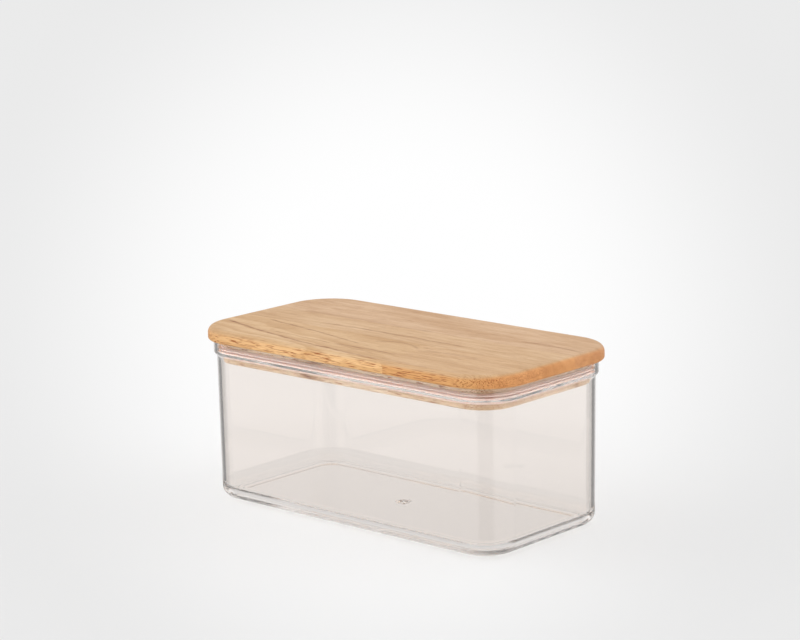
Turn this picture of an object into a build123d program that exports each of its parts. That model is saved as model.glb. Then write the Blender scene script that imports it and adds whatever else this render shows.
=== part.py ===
from build123d import *
import os
from math import atan2, radians, tan

# Clear moulded storage canister with a laminated wood lid and a soft seal, in millimetres.
# +Z is up, X runs along the length, and the origin is on the ground under the middle.
# A depth is measured inwards from the body's side, level with the flare's lower corner.

# Body of the container
body_length = 189.4
body_width = 92.5
body_corner_radius = 19.0
wall = 1.8
draft_degrees = 0.5
rim_height = 83.4
rim_rounding = 0.5

# Collar that takes the lid's plug, and the flare below it
collar_height = 8.4
collar_step = 1.55
flare_height = 1.9
flare_radius = 2.2

# Floor, and the ring that the container stands on
floor_thickness = 3.3
bottom_radius = 5.9
inner_bottom_radius = 5.5
foot_height = 1.2
foot_land = 1.95
foot_width = 3.0
foot_rounding = 0.45
floor_margin = 1.0

# Mark of the moulding gate: a pad inside, and under it a well with the gate's stub
gate_pad_diameter = 8.4
gate_pad_top_diameter = 5.6
gate_pad_height = 0.8
gate_well_depth = 1.1
gate_stub_diameter = 1.8
gate_stub_height = 0.6

# Lid board and the plug milled below it
board_thickness = 6.6
board_overhang = 4.6
board_corner_radius = 24.5
board_top_rounding = 3.2
board_bottom_rounding = 1.1
plug_depth = 11.5
plug_clearance = 1.4
plug_rounding = 0.8

# Seal in a groove round the plug: a band with two lips that lean up and outwards
groove_depth = 1.6
seal_height = 4.4
seal_proud = 0.9
seal_rounding = 0.35
lip_gap = 0.25
lip_root = 1.2
lip_tip = 0.45
lip_rise = 1.0
lip_spacing = 1.45

# Rows of the laminated board, and the finger joint in its front row
front_row_edge = -11.7
back_row_edge = 11.8
finger_joint_x = 29.0
finger_length = 8.0
finger_tip = 0.7
finger_count = 6

# How far a cutting block runs past what it cuts
overrun = 1.0

# Sizes worked out from those above
half_length = body_length / 2
half_width = body_width / 2
flare_low = rim_height - collar_height
flare_high = flare_low + flare_height
flare_angle = atan2(collar_step, flare_height)
inner_flare_shift = wall * tan(flare_angle / 2)
floor_top = foot_height + floor_thickness
draft_slope = tan(radians(draft_degrees))
bottom_side_depth = (flare_low - foot_height) * draft_slope
inner_side_depth = wall + (flare_low - floor_top) * draft_slope
foot_depth = bottom_side_depth + bottom_radius + foot_land
foot_inner_depth = foot_depth + foot_width
floor_edge_depth = max(inner_side_depth + inner_bottom_radius, foot_inner_depth) + floor_margin
plug_side_depth = wall + plug_clearance
groove_floor_depth = plug_side_depth + groove_depth
lower_lip_low = flare_high + inner_flare_shift + lip_gap
upper_lip_low = lower_lip_low + lip_spacing
seal_top = upper_lip_low + lip_tip + seal_rounding
seal_bottom = seal_top - seal_height
plug_bottom = rim_height - plug_depth
overall_height = rim_height + board_thickness


def rounded_block(depth, corner, low, high):
    """A block with the body's outline, set in by depth, between two heights."""
    outline = RectangleRounded(2 * (half_length - depth), 2 * (half_width - depth), corner)
    return extrude(Pos(0, 0, low) * outline, high - low)


def closed_outline(corners):
    """A closed face from its corners, each given as (outwards, height, rounding)."""
    points = [(x, z) for x, z, rounding in corners]
    roundings = [rounding for x, z, rounding in corners]
    return make_face(FilletPolyline(*points, radius=roundings, close=True))


def carried_round(section):
    """A section, whose X is the distance outwards from the body's side, carried once round
    the body's outline: each quarter is one straight run and one turn."""
    radius = body_corner_radius
    run_x = half_length - radius
    run_y = half_width - radius
    ring = None
    for quarter in range(4):
        along, across = (run_y, run_x) if quarter % 2 == 0 else (run_x, run_y)
        side = extrude(Plane.XZ * (Pos(across + radius, 0) * section), along, both=True)
        turn = revolve(Plane.XZ * (Pos(radius, 0) * section), Axis.Z, 90)
        piece = Rot(0, 0, 90 * quarter) * (side + Pos(across, along, 0) * turn)
        ring = piece if ring is None else ring + piece
    return ring


def make_container():
    """The moulding: wall, collar, bottom, foot ring and floor, with the gate's mark."""
    inner_collar = collar_step - wall
    inner_flare_radius = max(flare_radius - wall, 0)
    section = closed_outline([
        (-floor_edge_depth, foot_height, 0),
        (-foot_inner_depth, foot_height, 0),
        (-foot_inner_depth, 0, foot_rounding),
        (-foot_depth, 0, foot_rounding),
        (-foot_depth, foot_height, 0),
        (-bottom_side_depth, foot_height, bottom_radius),
        (0, flare_low, flare_radius),
        (collar_step, flare_high, flare_radius),
        (collar_step, rim_height, rim_rounding),
        (inner_collar, rim_height, rim_rounding),
        (inner_collar, flare_high + inner_flare_shift, inner_flare_radius),
        (-wall, flare_low + inner_flare_shift, flare_radius + wall),
        (-inner_side_depth, floor_top, inner_bottom_radius),
        (-floor_edge_depth, floor_top, 0),
    ])
    floor_corner = body_corner_radius - floor_edge_depth
    container = carried_round(section)
    container += rounded_block(floor_edge_depth, floor_corner, foot_height, floor_top)
    return with_gate_mark(container)


def with_gate_mark(container):
    """The container with the pad on its floor, and the well and stub under it."""
    upwards = (Align.CENTER, Align.CENTER, Align.MIN)
    pad = Cone(gate_pad_diameter / 2, gate_pad_top_diameter / 2, gate_pad_height, align=upwards)
    well = Cylinder(gate_pad_top_diameter / 2, gate_well_depth, align=upwards)
    stub = Cylinder(gate_stub_diameter / 2, gate_stub_height, align=upwards)
    stub_low = foot_height + gate_well_depth - gate_stub_height
    container += Pos(0, 0, floor_top) * pad
    container -= Pos(0, 0, foot_height) * well
    return container + Pos(0, 0, stub_low) * stub


def make_lid_blank():
    """The glued board before it is split into its strips: rounded edges, plug and groove."""
    board = rounded_block(-board_overhang, board_corner_radius, rim_height, overall_height)
    board = fillet(board.edges().group_by(Axis.Z)[-1], board_top_rounding)
    board = fillet(board.edges().group_by(Axis.Z)[0], board_bottom_rounding)
    plug_corner = body_corner_radius - plug_side_depth
    plug = rounded_block(plug_side_depth, plug_corner, plug_bottom, rim_height + overrun)
    plug = fillet(plug.edges().group_by(Axis.Z)[0], plug_rounding)
    groove_corner = body_corner_radius - groove_floor_depth
    groove = rounded_block(0, body_corner_radius, seal_bottom, seal_top)
    groove -= rounded_block(groove_floor_depth, groove_corner, seal_bottom, seal_top)
    return board + plug - groove


def make_seal():
    """The seal: its band fills the groove, and its lips stop just short of the collar."""
    band_face = seal_proud - plug_side_depth
    lip_base = band_face - seal_rounding
    lip_reach = collar_step - wall - lip_gap
    section = closed_outline([
        (-groove_floor_depth, seal_bottom, 0),
        (band_face, seal_bottom, seal_rounding),
        (band_face, seal_top, seal_rounding),
        (-groove_floor_depth, seal_top, 0),
    ])
    for low in (lower_lip_low, upper_lip_low):
        root = low + lip_tip - lip_rise
        section += closed_outline([
            (lip_base, root - lip_root / 2, 0),
            (lip_reach, low, 0),
            (lip_reach, low + lip_tip, 0),
            (lip_base, root + lip_root / 2, 0),
        ])
    return carried_round(section)


def finger_line():
    """Plan points of the finger joint, from the front edge back to the row's inner edge."""
    front = -half_width - board_overhang
    pitch = (front_row_edge - front) / finger_count
    points = [(finger_joint_x + finger_length / 2, front)]
    for half_step in range(1, 2 * finger_count):
        side = finger_length / 2 if half_step % 2 == 0 else -finger_length / 2
        middle = front + half_step * pitch / 2
        points.append((finger_joint_x + side, middle - finger_tip / 2))
        points.append((finger_joint_x + side, middle + finger_tip / 2))
    points.append((finger_joint_x + finger_length / 2, front_row_edge))
    return points


def split_lid(blank):
    """The four strips, cut from one blank so that their outside stays one smooth surface."""
    far = body_length
    low = plug_bottom - overrun
    height = overall_height + overrun - low

    def strip(*outline):
        return blank & extrude(Pos(0, 0, low) * make_face(Polyline(*outline, close=True)), height)

    fingers = finger_line()
    joint_start = (fingers[0][0], -far)
    return {
        "lid_stave_front_left": strip((-far, front_row_edge), (-far, -far), joint_start, *fingers),
        "lid_stave_front_right": strip((far, front_row_edge), (far, -far), joint_start, *fingers),
        "lid_stave_middle": strip(
            (-far, front_row_edge), (far, front_row_edge), (far, back_row_edge), (-far, back_row_edge)
        ),
        "lid_stave_back": strip((-far, back_row_edge), (far, back_row_edge), (far, far), (-far, far)),
    }


parts = {"container": make_container(), "seal_ring": make_seal()}
parts.update(split_lid(make_lid_blank()))
os.makedirs("parts", exist_ok=True)
for name, shape in parts.items():
    export_step(shape, f"parts/{name}.step")
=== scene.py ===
import math

import bpy
from mathutils import Matrix, Vector

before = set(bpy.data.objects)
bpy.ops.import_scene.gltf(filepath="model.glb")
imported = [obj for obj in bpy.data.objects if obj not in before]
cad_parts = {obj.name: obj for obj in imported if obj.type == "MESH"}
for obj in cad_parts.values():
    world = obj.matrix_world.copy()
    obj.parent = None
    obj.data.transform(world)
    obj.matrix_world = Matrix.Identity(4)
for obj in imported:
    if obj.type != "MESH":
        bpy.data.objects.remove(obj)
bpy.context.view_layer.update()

# The camera, in metres and radians, and in pixels of a picture 800 wide
PICTURE_WIDTH = 800
FOCAL_PIXELS = 2572.05
CENTRE_SHIFT = 0.5
SENSOR_WIDTH = 36.0
VIEW_TARGET = Vector((0.030983, -0.035019, 0.106730))
VIEW_DISTANCE = 1.22037
VIEW_AZIMUTH = math.radians(41.945)
VIEW_ELEVATION = math.radians(12.026)
VIEW_ROLL = math.radians(-1.108)
NEAR_LIMIT = 0.05
FAR_LIMIT = 60

# Level directions that the studio is laid out by: its far sheet stands AWAY from the view, and
# its panels stand ASIDE of it
AWAY = Vector((-math.sin(VIEW_AZIMUTH), math.cos(VIEW_AZIMUTH), 0))
ASIDE = Vector((math.cos(VIEW_AZIMUTH), math.sin(VIEW_AZIMUTH), 0))
UP = (0, 0, 1)

# Strengths of the studio's light, as it falls on dull surfaces
FILL_STRENGTH = 0.42
LEFT_STRENGTH = 1.15
RIGHT_STRENGTH = 0.95
TOP_STRENGTH = 0.48

# The same light, where it reaches dull surfaces behind clear plastic
INSIDE_SIDES = 2.2
INSIDE_FILL = 1.75

# Strengths of the studio as it shows by itself, through clear plastic and mirrored in it
BACKDROP_SHOWN = 0.81
SEEN_THROUGH = 0.93
SEEN_NEAR_GROUND = 0.84
MIRROR_DARK = 0.02
MIRROR_PALE = 0.72
PANEL_PALE = 1.15
GUIDED_PALE = 0.95

# Where the studio's parts begin and end, as shares of a direction of length 1 that go up, away
# or aside
SIDE_LIGHT = (0.05, 0.95)
TOP_LIGHT = (0.2, 1.0)
NEAR_GROUND = (-0.295, -0.25)
LOW_SHEET = (-0.42, -0.30)
LEVEL_SHEET = (-0.18, -0.05)
FAR_SHEET = (0.80, 0.95)
FAR_HAZE = (0.2, 0.45)
OUTER_PANEL = (0.88, 0.95)
NEAR_PANEL = (0.25, 0.5)
PANEL_STEP = (-0.262, -0.254)
PANEL_RISE = (-0.33, -0.20)

# How pale the haze and the panel's foot, step and head are, against their palest
HAZE_SHARE = 0.35
PANEL_FOOT = 0.3
PANEL_STEP_HEIGHT = 0.12
PANEL_HEAD = 0.58

# A ray's depth has to be more than this, for any and for the third pass or mirroring
ANY_DEPTH = 0.5
THIRD_DEPTH = 2.5

# Most times that light is followed through plastic, and through sheets that let it pass
BOUNCES = 96
CLEAR_BOUNCES = 32

# The floor, and the pool of light painted on it, which the floor gives off itself and no lamp
# throws:
# the cone that it fills, from its middle to its rim in radians, its tones there, and its share in
# what the camera sees
FLOOR_REACH = 30
FLOOR_TONE = (0.85, 0.85, 0.85, 1)
POOL_FROM = Vector((0.82880, -0.92264, 0.36104))
POOL_TOWARDS = Vector((0.030983, -0.035019, 0.106730))
POOL_RIM = (0.05, 0.175)
POOL_MIDDLE_TONE = 1.02
POOL_OUTSIDE_TONE = 0.735
POOL_SHARE = 0.6

# Sizes of the lid's wood, in millimetres: heights are taken from the lid's top
MILLIMETRES = 1000
LID_TOP = (0, 0, 90)
PLUG_TOP = -6.7
PLUG_TONE = (209, 200, 184)
PLUG_SHARE = 0.85

# Noise in the wood, as features in a millimetre along X, Y and Z
NOISE_MIDDLE = 0.5
SWAY_NOISE = (0.011, 0.02, 0.03)
RIPPLE_NOISE = (0.05, 0.10, 0.14)
FIBRE_NOISE = (0.035, 1.7, 1.7)
PORE_NOISE = (0.14, 2.6, 2.6)
CLOUD_NOISE = (0.014, 0.06, 0.06)
SHAKE_NOISE = (0.07, 0.05, 0.3)
DASH_NOISE = (0.13, 1.1, 1.1)
SWAY_HEIGHT = 6.0
SHAKE_HEIGHT = 3.0

# Where growth rings darken and clear again, as parts of a ring
RING_DARKENS = (0.15, 0.9)
RING_CLEARS = (0.9, 1.0)

# Noise levels at which pores, clouds, fibres and dashes begin and are full
PORE_LEVELS = (0.55, 0.65)
CLOUD_LEVELS = (0.35, 0.7)
FIBRE_LEVELS = (0.42, 0.75)
DASH_LEVELS = (0.38, 0.62)
DASH_GAP = 0.35

# A brown line: what makes its arch 1 high in the middle, its soft side, as parts of its width,
# and its soft ends, as parts of its length
ARCH_TO_ONE = 4.0
STREAK_SIDE = (0.15, 1.0)
STREAK_STARTS = (-0.02, 0.06)
STREAK_STOPS = (0.94, 1.02)

# How far a surface faces along X to be end grain, and along Z to be the lid's face
END_FACING = (0.30, 0.85)
TOP_FACING = (0.25, 0.8)
FACE_PORE_LOSS = -0.7

# Tones, from 0 to 255, that the wood is multiplied by
CLOUD_TINT = (238, 229, 216)
RING_TINT = (222, 204, 180)
FIBRE_TINT = (236, 225, 210)
PORE_TINT = (184, 132, 86)
STREAK_TINT = (176, 134, 98)

# The wood's oiled surface: roughness of its dense and its loose fibres, and its fine relief
ROUGHNESS_LOW = 0.40
ROUGHNESS_RISE = 0.16
FIBRE_RELIEF = 0.5
PORE_RELIEF = -0.8
RELIEF_DEPTH = 0.00012
RELIEF_STRENGTH = 0.25

# The lid's strips. The tones are those of the face, of the sides and of the end grain, figure
# is how strong the rings are, and start is where in the tree the strip was cut. Each brown line
# is its start and end in plan, its bow, its width and how dark it is.
STRIPS = {
    "front_left": {
        "tones": ((222, 187, 144), (242, 197, 141), (228, 165, 104)),
        "figure": 0.5,
        "grain": {"Slope": -0.12, "Heart Across": -14.0, "Heart Below": 34.0,
                  "Ring Width": 4.6, "Waviness": 3.8},
        "streaks": [
            ((-96.0, -27.0), (30.0, -48.0), -4.0, 1.5, 0.9),
            ((-78.0, -14.0), (-2.0, -29.0), 1.0, 1.2, 0.7),
            ((-12.0, -36.0), (29.0, -36.5), 1.0, 1.2, 0.6),
            ((0.0, -20.0), (33.0, -24.0), 7.0, 1.4, 0.5),
            ((-60.0, -33.0), (20.0, -41.0), 1.5, 0.9, 0.45),
        ],
        "start": (13, 5, 0),
    },
    "front_right": {
        "tones": ((215, 178, 136), (223, 167, 106), (228, 165, 104)),
        "figure": 0.28,
        "grain": {"Slope": 0.02, "Heart Across": -60.0, "Heart Below": 60.0,
                  "Ring Width": 7.0, "Waviness": 4.5},
        "streaks": [((34.0, -21.0), (66.0, -20.0), 1.0, 2.2, 0.4)],
        "start": (310, 40, 9),
    },
    "middle": {
        "tones": ((220, 186, 147), (226, 176, 120), (228, 166, 106)),
        "figure": 0.25,
        "grain": {"Slope": 0.01, "Heart Across": 3.0, "Heart Below": 16.0,
                  "Ring Width": 6.5, "Waviness": 5.0},
        "streaks": [
            ((-50.0, -3.6), (44.0, -3.8), 0.8, 1.6, 0.55),
            ((-80.0, 11.0), (10.0, 11.4), 1.0, 1.2, 0.35),
        ],
        "start": (-220, 70, 3),
    },
    "back": {
        "tones": ((216, 181, 145), (222, 172, 118), (220, 160, 106)),
        "figure": 0.25,
        "grain": {"Slope": -0.01, "Heart Across": 60.0, "Heart Below": 40.0,
                  "Ring Width": 8.0, "Waviness": 5.0},
        "streaks": [
            ((58.0, 22.0), (97.0, 21.0), 1.0, 1.6, 0.5),
            ((-78.0, 13.0), (12.0, 12.6), 0.5, 1.4, 0.35),
        ],
        "start": (90, -160, 14),
    },
}


def stand_camera():
    """The camera stands off the +X, -Y corner, a little above the lid."""
    away = Vector((
        math.sin(VIEW_AZIMUTH) * math.cos(VIEW_ELEVATION),
        -math.cos(VIEW_AZIMUTH) * math.cos(VIEW_ELEVATION),
        math.sin(VIEW_ELEVATION),
    ))
    level_right = Vector(UP).cross(away).normalized()
    level_up = away.cross(level_right)
    right = level_right * math.cos(VIEW_ROLL) + level_up * math.sin(VIEW_ROLL)
    up = level_up * math.cos(VIEW_ROLL) - level_right * math.sin(VIEW_ROLL)
    camera = bpy.data.objects.new("camera", bpy.data.cameras.new("camera"))
    bpy.context.scene.collection.objects.link(camera)
    turn = Matrix((right, up, away)).transposed().to_4x4()
    camera.matrix_world = Matrix.Translation(VIEW_TARGET + away * VIEW_DISTANCE) @ turn
    camera.data.sensor_width = SENSOR_WIDTH
    camera.data.lens = FOCAL_PIXELS * SENSOR_WIDTH / PICTURE_WIDTH
    camera.data.shift_x = -CENTRE_SHIFT / PICTURE_WIDTH
    camera.data.shift_y = CENTRE_SHIFT / PICTURE_WIDTH
    camera.data.clip_start = NEAR_LIMIT
    camera.data.clip_end = FAR_LIMIT
    bpy.context.scene.camera = camera


class Board:
    """A node tree that is being wired: adds nodes and joins their sockets."""

    def __init__(self, tree):
        self.tree = tree

    def add(self, kind, links=None, **settings):
        node = self.tree.nodes.new("ShaderNode" + kind)
        for name, value in settings.items():
            setattr(node, name, value)
        for socket, value in (links or {}).items():
            self.feed(node.inputs[socket], value)
        return node

    def feed(self, socket, value):
        if isinstance(value, bpy.types.NodeSocket):
            self.tree.links.new(value, socket)
        elif isinstance(value, bpy.types.Node):
            self.tree.links.new(value.outputs[0], socket)
        else:
            socket.default_value = value

    def math(self, operation, *values):
        node = self.add("Math", operation=operation)
        for socket, value in zip(node.inputs, values):
            self.feed(socket, value)
        return node.outputs[0]

    def vector(self, operation, *values):
        node = self.add("VectorMath", operation=operation)
        for socket, value in zip(node.inputs, values):
            self.feed(socket, value)
        return node

    def blend(self, amount, first, second, kind="MIX"):
        """The first colour where the amount is 0; where it is 1 the second, or their product."""
        node = self.add("Mix", data_type="RGBA", blend_type=kind)
        self.feed(node.inputs["Factor"], amount)
        self.feed(node.inputs["A"], first)
        self.feed(node.inputs["B"], second)
        return node.outputs["Result"]

    def choose(self, amount, first, second):
        """The first number where the amount is 0, and the second where it is 1."""
        node = self.add("Mix", data_type="FLOAT")
        numbers = [socket for socket in node.inputs if socket.type == "VALUE"]
        for socket, value in zip(numbers, (amount, first, second)):
            self.feed(socket, value)
        return node.outputs[0]

    def ramp(self, value, reach, start=0.0, stop=1.0):
        """A soft change from start to stop, while the value crosses its reach."""
        node = self.add("MapRange", interpolation_type="SMOOTHSTEP")
        for socket, amount in zip(node.inputs, (value, *reach, start, stop)):
            self.feed(socket, amount)
        return node.outputs[0]


def linear(red, green, blue):
    """A colour as a screen shows it, from 0 to 255, turned into the linear colour a node takes."""
    def one(value):
        value /= 255
        return value / 12.92 if value <= 0.04045 else ((value + 0.055) / 1.055) ** 2.4
    return (one(red), one(green), one(blue), 1.0)


def new_material(name):
    material = bpy.data.materials.new(name)
    material.use_nodes = True
    material.node_tree.nodes.clear()
    return material, Board(material.node_tree)


def along(board, vector, direction):
    """How far a vector goes along a direction."""
    return board.vector("DOT_PRODUCT", vector, direction).outputs["Value"]


def make_group(name, inputs, outputs):
    """A shared group: inputs maps a socket's name to its default, three numbers for a vector."""
    tree = bpy.data.node_groups.new(name, "ShaderNodeTree")
    for socket, value in inputs.items():
        kind = "NodeSocketVector" if isinstance(value, tuple) else "NodeSocketFloat"
        made = tree.interface.new_socket(socket, in_out="INPUT", socket_type=kind)
        made.default_value = value
    for socket in outputs:
        tree.interface.new_socket(socket, in_out="OUTPUT", socket_type="NodeSocketFloat")
    given = tree.nodes.new("NodeGroupInput").outputs
    results = tree.nodes.new("NodeGroupOutput").inputs
    return tree, Board(tree), given, results


def place(board, group, values):
    """The group placed in a material, with its inputs fed by name."""
    return board.add("Group", values, node_tree=group).outputs


def noise(board, position, features, detail=2.0, roughness=0.5):
    """Noise with so many features in a millimetre along X, Y and Z."""
    scaled = board.vector("MULTIPLY", position, features)
    node = board.add("TexNoise", {
        "Vector": scaled, "Scale": 1.0, "Detail": detail, "Roughness": roughness,
    })
    return node.outputs["Fac"]


def centred_noise(board, position, features, detail=2.0):
    return board.math("SUBTRACT", noise(board, position, features, detail), NOISE_MIDDLE)


def make_grain_group():
    """Growth rings, fibres, pores and broad clouds of a board cut along X, from millimetres."""
    group, board, given, results = make_group(
        "wood grain",
        {"Position": (0.0, 0.0, 0.0), "Slope": 0.0, "Heart Across": 0.0, "Heart Below": 20.0,
         "Ring Width": 4.0, "Waviness": 3.0},
        ["Rings", "Fibres", "Pores", "Clouds"],
    )
    position = given["Position"]
    x, y, z = board.add("SeparateXYZ", {"Vector": position}).outputs
    sway = board.math("MULTIPLY", centred_noise(board, position, SWAY_NOISE), SWAY_HEIGHT)
    sway = board.math("ADD", sway, centred_noise(board, position, RIPPLE_NOISE))
    bend = board.math("MULTIPLY", sway, given["Waviness"])
    across = board.math("SUBTRACT", board.math("ADD", y, bend), given["Heart Across"])
    across = board.math("SUBTRACT", across, board.math("MULTIPLY", x, given["Slope"]))
    below = board.math("ADD", z, given["Heart Below"])
    across_squared = board.math("MULTIPLY", across, across)
    below_squared = board.math("MULTIPLY", below, below)
    from_heart = board.math("SQRT", board.math("ADD", across_squared, below_squared))
    part = board.math("FRACT", board.math("DIVIDE", from_heart, given["Ring Width"]))
    darkening = board.ramp(part, RING_DARKENS)
    clearing = board.ramp(part, RING_CLEARS, 1.0, 0.0)
    fibres = noise(board, position, FIBRE_NOISE, detail=3.0, roughness=0.6)
    pores = noise(board, position, PORE_NOISE, detail=1.0)
    clouds = noise(board, position, CLOUD_NOISE, detail=3.0, roughness=0.55)
    board.feed(results["Rings"], board.math("MULTIPLY", darkening, clearing))
    board.feed(results["Fibres"], fibres)
    board.feed(results["Pores"], board.ramp(pores, PORE_LEVELS))
    board.feed(results["Clouds"], clouds)
    return group


def make_streak_group():
    """One brown growth line of a board, from a start to an end in plan, broken into dashes."""
    group, board, given, results = make_group(
        "wood streak",
        {"Position": (0.0, 0.0, 0.0), "Start X": 0.0, "Start Y": 0.0, "End X": 1.0,
         "End Y": 0.0, "Bow": 0.0, "Width": 1.0},
        ["Streak"],
    )
    position = given["Position"]
    x, y, _ = board.add("SeparateXYZ", {"Vector": position}).outputs
    length = board.math("SUBTRACT", given["End X"], given["Start X"])
    part = board.math("DIVIDE", board.math("SUBTRACT", x, given["Start X"]), length)
    inside = board.math("MINIMUM", board.math("MAXIMUM", part, 0.0), 1.0)
    rise = board.math("SUBTRACT", given["End Y"], given["Start Y"])
    climb = board.math("MULTIPLY", rise, inside)
    arch = board.math("MULTIPLY", inside, board.math("SUBTRACT", 1.0, inside))
    arch = board.math("MULTIPLY", board.math("MULTIPLY", arch, ARCH_TO_ONE), given["Bow"])
    middle = board.math("ADD", board.math("ADD", given["Start Y"], climb), arch)
    shake = centred_noise(board, position, SHAKE_NOISE, detail=3.0)
    shake = board.math("MULTIPLY", shake, SHAKE_HEIGHT)
    off = board.math("ABSOLUTE", board.math("ADD", board.math("SUBTRACT", y, middle), shake))
    line = board.ramp(board.math("DIVIDE", off, given["Width"]), STREAK_SIDE, 1.0, 0.0)
    starting = board.ramp(part, STREAK_STARTS)
    stopping = board.ramp(part, STREAK_STOPS, 1.0, 0.0)
    ends = board.math("MULTIPLY", starting, stopping)
    dashes = board.ramp(noise(board, position, DASH_NOISE), DASH_LEVELS, DASH_GAP, 1.0)
    streak = board.math("MULTIPLY", board.math("MULTIPLY", line, ends), dashes)
    board.feed(results["Streak"], streak)
    return group


def make_clear_plastic():
    material, board = new_material("clear_plastic")
    shader = board.add("BsdfPrincipled", {
        "Base Color": linear(250, 246, 243),
        "Roughness": 0.0,
        "IOR": 1.5,
        "Transmission Weight": 1.0,
    })
    board.add("OutputMaterial", {"Surface": shader})
    return material


def make_seal():
    material, board = new_material("seal_silicone")
    shader = board.add("BsdfPrincipled", {
        "Base Color": linear(222, 200, 193),
        "Roughness": 0.35,
        "Subsurface Weight": 0.9,
        "Subsurface Radius": (1.0, 0.85, 0.75),
        "Subsurface Scale": 0.003,
    })
    board.add("OutputMaterial", {"Surface": shader})
    return material


def streak_marks(board, position, streaks):
    """All the brown lines of one strip, each as dark as it is given."""
    marks = []
    for (start_x, start_y), (end_x, end_y), bow, width, depth in streaks:
        streak = place(board, STREAK, {
            "Position": position, "Start X": start_x, "Start Y": start_y,
            "End X": end_x, "End Y": end_y, "Bow": bow, "Width": width,
        })["Streak"]
        marks.append(board.math("MULTIPLY", streak, depth))
    darkest = marks[0]
    for mark in marks[1:]:
        darkest = board.math("MAXIMUM", darkest, mark)
    return darkest


def make_wood(name, tones, figure, grain, streaks, start):
    """Oiled wood: one tone for the face, one for the sides and one for the end grain, paler on
    the plug, with the grain and the streaks running through the whole thickness."""
    face, side, end = tones
    material, board = new_material(name)
    coordinates = board.add("TexCoord").outputs
    scaled = board.add("VectorMath", operation="SCALE")
    board.feed(scaled.inputs[0], coordinates["Object"])
    board.feed(scaled.inputs["Scale"], MILLIMETRES)
    position = board.vector("SUBTRACT", scaled, LID_TOP)
    in_tree = board.vector("ADD", position, start)
    masks = place(board, GRAIN, {"Position": in_tree, **grain})

    facing = board.add("SeparateXYZ", {"Vector": coordinates["Normal"]}).outputs
    endwise = board.ramp(board.math("ABSOLUTE", facing["X"]), END_FACING)
    upright = board.ramp(board.math("ABSOLUTE", facing["Z"]), TOP_FACING)
    height = board.add("SeparateXYZ", {"Vector": position}).outputs["Z"]
    on_plug = board.math("MULTIPLY", board.math("LESS_THAN", height, PLUG_TOP), PLUG_SHARE)
    rings = board.math("MULTIPLY", masks["Rings"], figure)
    clouds = board.ramp(masks["Clouds"], CLOUD_LEVELS)
    fibres = board.ramp(masks["Fibres"], FIBRE_LEVELS)
    pore_depth = board.math("MULTIPLY_ADD", upright, FACE_PORE_LOSS, 1.0)
    pores = board.math("MULTIPLY", masks["Pores"], pore_depth)

    colour = board.blend(upright, linear(*side), linear(*face))
    colour = board.blend(endwise, colour, linear(*end))
    colour = board.blend(on_plug, colour, linear(*PLUG_TONE))
    for mask, tint in (
        (clouds, CLOUD_TINT),
        (rings, RING_TINT),
        (fibres, FIBRE_TINT),
        (pores, PORE_TINT),
        (streak_marks(board, position, streaks), STREAK_TINT),
    ):
        colour = board.blend(mask, colour, linear(*tint), kind="MULTIPLY")

    roughness = board.math("MULTIPLY_ADD", masks["Fibres"], ROUGHNESS_RISE, ROUGHNESS_LOW)
    raised = board.math("MULTIPLY", masks["Fibres"], FIBRE_RELIEF)
    relief = board.math("ADD", raised, board.math("MULTIPLY", masks["Pores"], PORE_RELIEF))
    bump = board.add("Bump", {
        "Strength": RELIEF_STRENGTH, "Distance": RELIEF_DEPTH, "Height": relief,
    })
    shader = board.add("BsdfPrincipled", {
        "Base Color": colour, "Roughness": roughness, "Normal": bump,
        "Specular IOR Level": 0.35,
    })
    board.add("OutputMaterial", {"Surface": shader})
    return material


def paint(node_name, material):
    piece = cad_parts[node_name]
    piece.data.materials.clear()
    piece.data.materials.append(material)


def through_clear(board, path):
    """1 for a ray that has just passed through something clear or been mirrored."""
    passed, mirrored = path["Is Transmission Ray"], path["Is Glossy Ray"]
    return board.math("MAXIMUM", passed, mirrored)


def lay_floor():
    """A pale sheet with a soft painted pool of light round the object, that keeps a faint shadow.
    It isn't in the way of light that has passed through the plastic or been mirrored in it."""
    reach = FLOOR_REACH
    corners = [(-reach, -reach, 0), (reach, -reach, 0), (reach, reach, 0), (-reach, reach, 0)]
    mesh = bpy.data.meshes.new("floor")
    mesh.from_pydata(corners, [], [(0, 1, 2, 3)])
    floor = bpy.data.objects.new("floor", mesh)
    bpy.context.scene.collection.objects.link(floor)

    material, board = new_material("pale_sheet")
    path = board.add("LightPath").outputs
    spot = board.add("NewGeometry").outputs["Position"]
    beam = board.vector("NORMALIZE", board.vector("SUBTRACT", spot, POOL_FROM))
    straight = along(board, beam, (POOL_TOWARDS - POOL_FROM).normalized())
    angle = board.math("ARCCOSINE", straight)
    pale = board.ramp(angle, POOL_RIM, POOL_MIDDLE_TONE, POOL_OUTSIDE_TONE)
    tone = board.add("CombineColor", {"Red": pale, "Green": pale, "Blue": pale})
    # Painted pool of light: the sheet glows brightest inside a cone from POOL_FROM, and only the
    # camera sees this glow, mixed with the lit sheet
    pool = board.add("Emission", {"Color": tone})
    lit = board.add("BsdfDiffuse", {"Color": FLOOR_TONE})
    share = board.math("MULTIPLY", path["Is Camera Ray"], POOL_SHARE)
    shown = board.add("MixShader")
    for socket, value in zip(shown.inputs, (share, lit, pool)):
        board.feed(socket, value)
    clear = board.add("BsdfTransparent", {"Color": (1, 1, 1, 1)})
    shader = board.add("MixShader")
    for socket, value in zip(shader.inputs, (through_clear(board, path), shown, clear)):
        board.feed(socket, value)
    board.add("OutputMaterial", {"Surface": shader})
    mesh.materials.append(material)


def light_on_dull(board, up, aside):
    """The light of the two side panels, and all the light that dull surfaces get."""
    narrow, wide = SIDE_LIGHT
    left = board.math("MULTIPLY", board.ramp(aside, (-wide, -narrow), 1, 0), LEFT_STRENGTH)
    right = board.math("MULTIPLY", board.ramp(aside, SIDE_LIGHT), RIGHT_STRENGTH)
    top = board.math("MULTIPLY", board.ramp(up, TOP_LIGHT), TOP_STRENGTH)
    sides = board.math("ADD", left, right)
    return sides, board.math("ADD", board.math("ADD", sides, top), FILL_STRENGTH)


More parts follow.
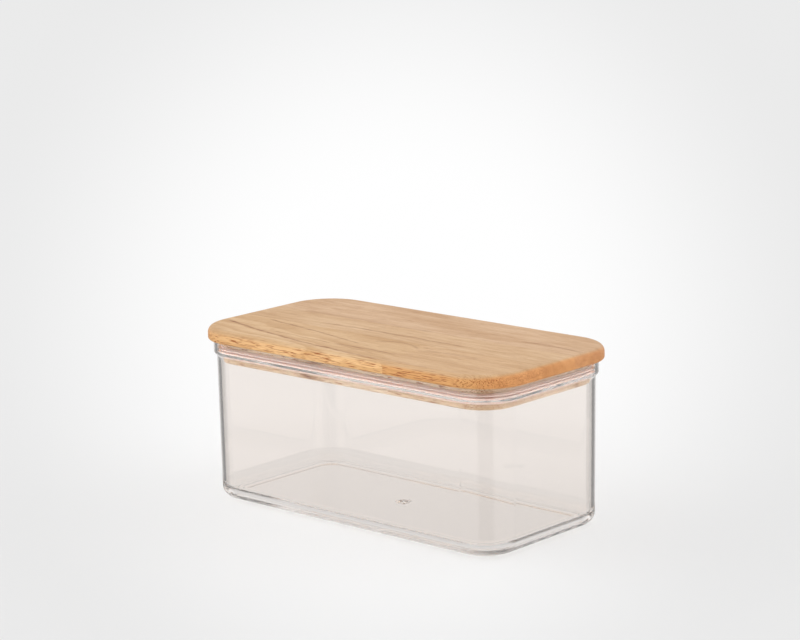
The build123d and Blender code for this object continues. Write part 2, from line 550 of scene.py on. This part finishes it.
def studio_in_mirror(board, path, up, away, aside):
    """The studio as the plastic mirrors it: dark, with a pale sheet beyond the object, pale
    ground, and panels at the sides that darken towards the ground."""
    low = board.ramp(up, LOW_SHEET, 1, 0)
    level = board.ramp(up, LEVEL_SHEET)
    haze = board.ramp(away, FAR_HAZE, 0, HAZE_SHARE)
    sheet = board.math("MAXIMUM", board.ramp(away, FAR_SHEET), haze)
    sheet = board.math("MAXIMUM", sheet, board.math("MAXIMUM", low, level))
    mirrored = board.ramp(sheet, (0, 1), MIRROR_DARK, MIRROR_PALE)

    width = board.math("ABSOLUTE", aside)
    nearer = board.math("LESS_THAN", away, 0.0)
    near_panel = board.math("MULTIPLY", board.ramp(width, NEAR_PANEL), nearer)
    beside = board.math("MAXIMUM", board.ramp(width, OUTER_PANEL), near_panel)
    step = board.ramp(up, PANEL_STEP, 0, PANEL_STEP_HEIGHT)
    height = board.math("ADD", step, board.ramp(up, PANEL_RISE, PANEL_FOOT, PANEL_HEAD))
    palest = PANEL_PALE / (PANEL_STEP_HEIGHT + PANEL_HEAD)
    panel = board.math("MULTIPLY", beside, board.math("MULTIPLY", height, palest))
    mirrored = board.math("MAXIMUM", mirrored, panel)
    guided = board.math("GREATER_THAN", path["Glossy Depth"], THIRD_DEPTH)
    return board.choose(guided, mirrored, GUIDED_PALE)


def light_scene():
    """A studio with a soft panel on either side and a soft top. Rays that have passed through
    the plastic, or that come from dull surfaces behind it, get their own strengths."""
    world = bpy.data.worlds.new("studio")
    world.use_nodes = True
    world.node_tree.nodes.clear()
    board = Board(world.node_tree)
    path = board.add("LightPath").outputs
    direction = board.add("TexCoord").outputs["Generated"]
    up = along(board, direction, UP)
    away = along(board, direction, AWAY)
    aside = along(board, direction, ASIDE)

    sides, plain = light_on_dull(board, up, aside)
    mirrored = studio_in_mirror(board, path, up, away, aside)
    straight = board.ramp(up, NEAR_GROUND, SEEN_NEAR_GROUND, SEEN_THROUGH)
    turned = board.math("GREATER_THAN", path["Glossy Depth"], ANY_DEPTH)
    shown = board.choose(turned, straight, mirrored)
    inside = board.math("ADD", board.math("MULTIPLY", sides, INSIDE_SIDES), INSIDE_FILL)
    from_dull = board.math("GREATER_THAN", path["Diffuse Depth"], ANY_DEPTH)
    behind_clear = board.choose(from_dull, shown, inside)
    strength = board.choose(through_clear(board, path), plain, behind_clear)
    strength = board.choose(path["Is Camera Ray"], strength, BACKDROP_SHOWN)
    background = board.add("Background", {"Color": (1, 1, 1, 1), "Strength": strength})
    board.add("OutputWorld", {"Surface": background})
    bpy.context.scene.world = world

    cycles = bpy.context.scene.cycles
    cycles.max_bounces = BOUNCES
    cycles.glossy_bounces = BOUNCES
    cycles.transmission_bounces = BOUNCES
    cycles.transparent_max_bounces = CLEAR_BOUNCES


GRAIN = make_grain_group()
STREAK = make_streak_group()
stand_camera()
paint("container", make_clear_plastic())
paint("seal_ring", make_seal())
for strip, finish in STRIPS.items():
    paint("lid_stave_" + strip, make_wood("wood_" + strip, **finish))
lay_floor()
light_scene()
bpy.context.scene.view_settings.view_transform = "Standard"
